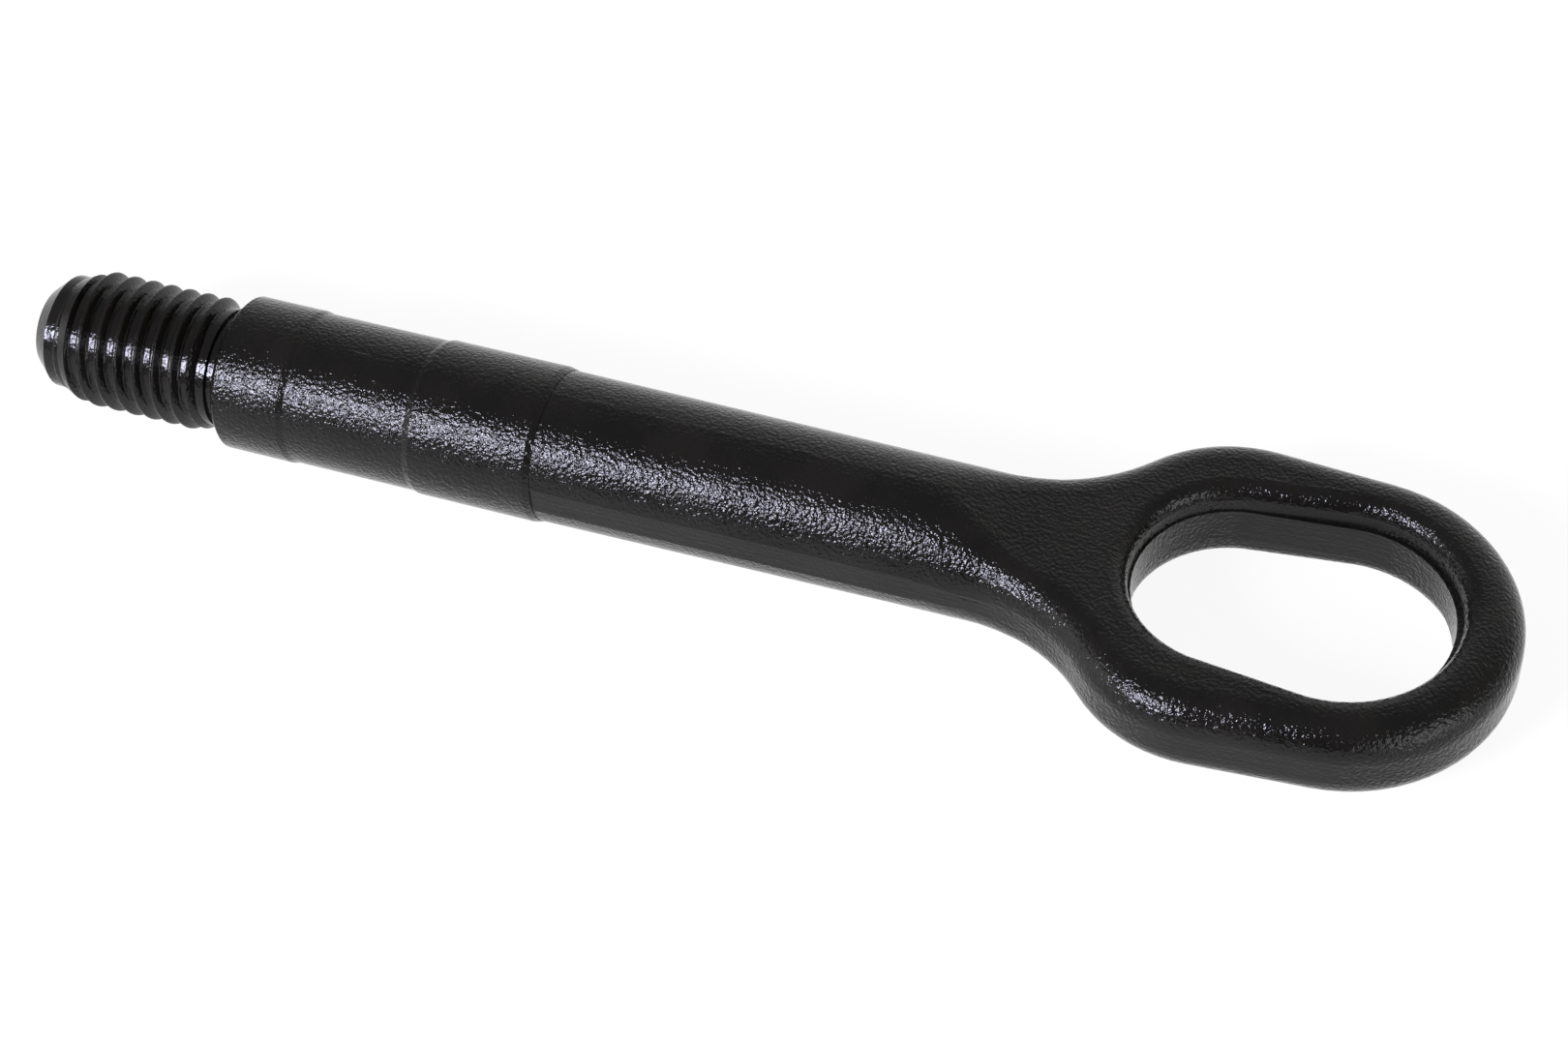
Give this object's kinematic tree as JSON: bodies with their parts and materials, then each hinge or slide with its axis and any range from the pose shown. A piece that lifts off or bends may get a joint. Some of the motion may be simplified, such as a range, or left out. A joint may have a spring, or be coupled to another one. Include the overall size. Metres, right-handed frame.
{
  "type": "towing lug",
  "caption": "Screw-in towing lug: a threaded stud with a seating shoulder, a round forged shank and a flat rounded eye for a tow hook or shackle.",
  "frame": {"origin": "centre of the seating shoulder, where the threaded stud meets the collar", "axes": "+X along the shank towards the eye, +Z square to the flat of the eye, +Y across the eye"},
  "size_m": [0.2179, 0.0502, 0.0226],
  "materials": {
    "black_coat": "semi-gloss black dip coat with a fine grain"
  },
  "bodies": {
    "root": {"towing_lug": "black_coat"}
  },
  "joints": []
}
